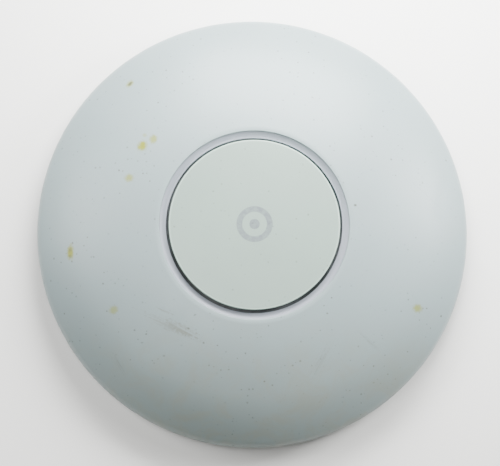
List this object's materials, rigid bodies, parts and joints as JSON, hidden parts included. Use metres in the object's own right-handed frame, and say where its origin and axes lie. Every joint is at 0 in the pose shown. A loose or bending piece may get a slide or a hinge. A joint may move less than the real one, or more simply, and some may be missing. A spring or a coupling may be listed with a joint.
{
  "type": "ceiling access point",
  "caption": "Round, shallow-domed wireless access point with a light ring around a flat centre cap, twisted onto a screwed ceiling bracket.",
  "frame": {"origin": "centre of the mounting bracket's flat back, on the ceiling plane", "axes": "+Z out of the ceiling, along the disc's centre line towards the domed face; -Y towards the side cable exit; +X to the right when the face is seen with the cable exit down"},
  "size_m": [0.2, 0.2, 0.0365],
  "materials": {
    "shell_plastic": "fine satin grain",
    "base_plastic": "satin",
    "cap_plastic": "satin",
    "bracket_plastic": "satin",
    "ring_diffuser": "translucent, frosted",
    "carrier_plastic": "satin",
    "screw_steel": "plated",
    "circuit_board": "solder mask",
    "led_lens": "clear yellowish",
    "connector_plastic": "natural nylon",
    "wire_insulation": "satin",
    "coax_jacket": "satin",
    "plug_metal": "gold plated",
    "holder_plastic": "satin",
    "shield_tin": "tinned",
    "chip_epoxy": "satin",
    "crystal_can": "plated",
    "ceramic_brown": "satin",
    "resistor_black": "satin",
    "transformer_tape": "taped",
    "ferrite": "satin",
    "capacitor_can": "satin",
    "network_transformer_case": "satin",
    "spreader_metal": "satin",
    "thermal_pad": "soft",
    "jack_plastic": "satin",
    "switch_body": "satin",
    "switch_stem": "satin",
    "plunger_plastic": "satin",
    "label_film": "printed film, left blank"
  },
  "bodies": {
    "bracket": {"mounting_bracket": "bracket_plastic"},
    "lever": {"release_lever": "bracket_plastic"},
    "access_point": {"antenna_boards": "circuit_board", "antenna_holders": "holder_plastic", "antenna_leads": "coax_jacket", "antenna_plugs": "plug_metal", "antenna_traces": "plug_metal", "base_shell": "base_plastic", "board_screws": "screw_steel", "cap_carrier": "carrier_plastic", "carrier_screws": "screw_steel", "centre_cap": "cap_plastic", "ceramic_capacitors": "ceramic_brown", "crystals": "crystal_can", "electrolytic_capacitors": "capacitor_can", "heat_spreader": "spreader_metal", "housing_screws": "screw_steel", "jack_contacts": "plug_metal", "led_board": "circuit_board", "led_connectors": "connector_plastic", "led_lead": "wire_insulation", "light_ring": "ring_diffuser", "main_board": "circuit_board", "memory_chips": "chip_epoxy", "network_jacks": "jack_plastic", "network_transformers": "network_transformer_case", "power_inductors": "ferrite", "power_transformer": "transformer_tape", "processor_chip": "chip_epoxy", "processor_shield": "shield_tin", "radio_chips": "chip_epoxy", "radio_shields": "shield_tin", "rating_label": "label_film", "reset_switch": "switch_body", "resistors": "resistor_black", "ring_leds": "led_lens", "switch_chip": "chip_epoxy", "thermal_pads": "thermal_pad", "top_shell": "shell_plastic"},
    "reset_button": {"reset_plunger": "plunger_plastic", "switch_actuator": "switch_stem"},
    "side_cover": {"port_cover": "base_plastic"}
  },
  "joints": [
    {"name": "twist", "type": "hinge", "parent": "bracket", "child": "access_point", "pos_m": [0, 0, 0.003], "axis": [0, 0, 1], "range_deg": [0, 22]},
    {"name": "lever_dip", "type": "hinge", "parent": "bracket", "child": "lever", "pos_m": [-0.044, -0.015, 0.0024], "axis": [1, 0, 0], "range_deg": [-3.1, 0], "stiffness_Nm_per_rad": 0.02},
    {"name": "reset_press", "type": "slide", "parent": "access_point", "child": "reset_button", "axis": [0, 0, 1], "range_m": [0, 0.00035], "stiffness_N_per_m": 400},
    {"name": "cover_slide", "type": "slide", "parent": "access_point", "child": "side_cover", "axis": [0, -1, 0], "range_m": [0, 0.014]}
  ],
  "couplings": [
    {"joint": "lever_dip", "follows": "twist", "ratio": -0.14}
  ]
}
